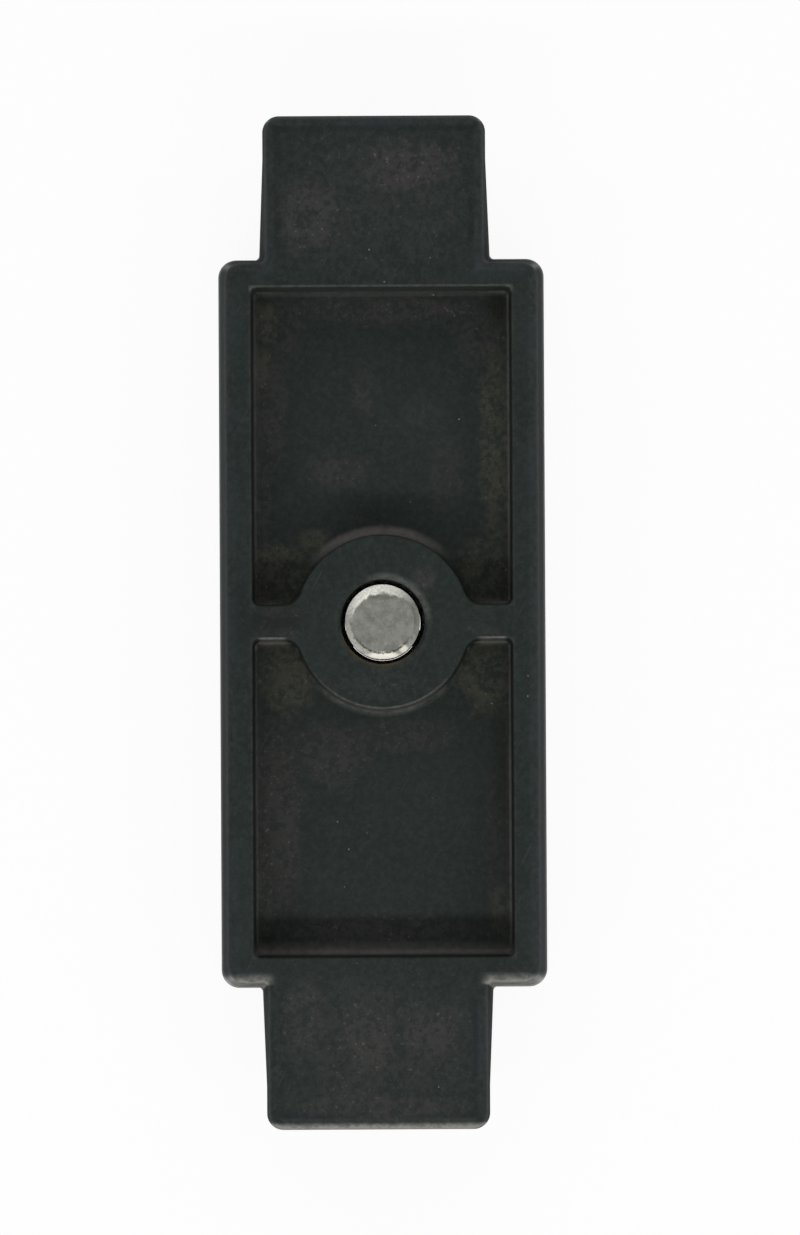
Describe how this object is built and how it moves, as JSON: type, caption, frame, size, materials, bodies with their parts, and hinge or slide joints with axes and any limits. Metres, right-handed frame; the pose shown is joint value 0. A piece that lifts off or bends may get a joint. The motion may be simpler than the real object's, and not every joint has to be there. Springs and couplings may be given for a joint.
{
  "type": "tilt latch",
  "caption": "Cast tilt latch bar with a thin tongue at each end, cored pockets and a sprung round bolt through a central boss.",
  "frame": {"origin": "on the bolt's axis at the tip of its nose, which is the lowest point of the latch at rest", "axes": "+Z along the bolt, out of the cored front face; +Y along the bar, from tongue to tongue; +X across the bar"},
  "size_m": [0.0278, 0.0862, 0.0128],
  "materials": {
    "black_casting": "thin satin black coat over a casting, dusty and slightly rusted in the corners",
    "bolt_steel": "plain ground steel, slightly mottled, bright at the chamfer",
    "spring_steel": "oiled drawn wire and stamped spring steel",
    "zinc_plate": "dull zinc plate on stamped steel and screws"
  },
  "bodies": {
    "latch_bar": {"latch_body": "black_casting", "guide_plate": "zinc_plate", "plate_screws": "zinc_plate", "bolt_spring": "spring_steel"},
    "bolt": {"bolt_pin": "bolt_steel", "bolt_retaining_clip": "spring_steel", "thrust_washer": "zinc_plate"}
  },
  "joints": [
    {"name": "bolt_slide", "type": "slide", "parent": "latch_bar", "child": "bolt", "axis": [0, 0, 1], "range_m": [0, 0.0023], "stiffness_N_per_m": 540, "springref_m": -0.0068, "deforming": ["bolt_spring"]}
  ]
}
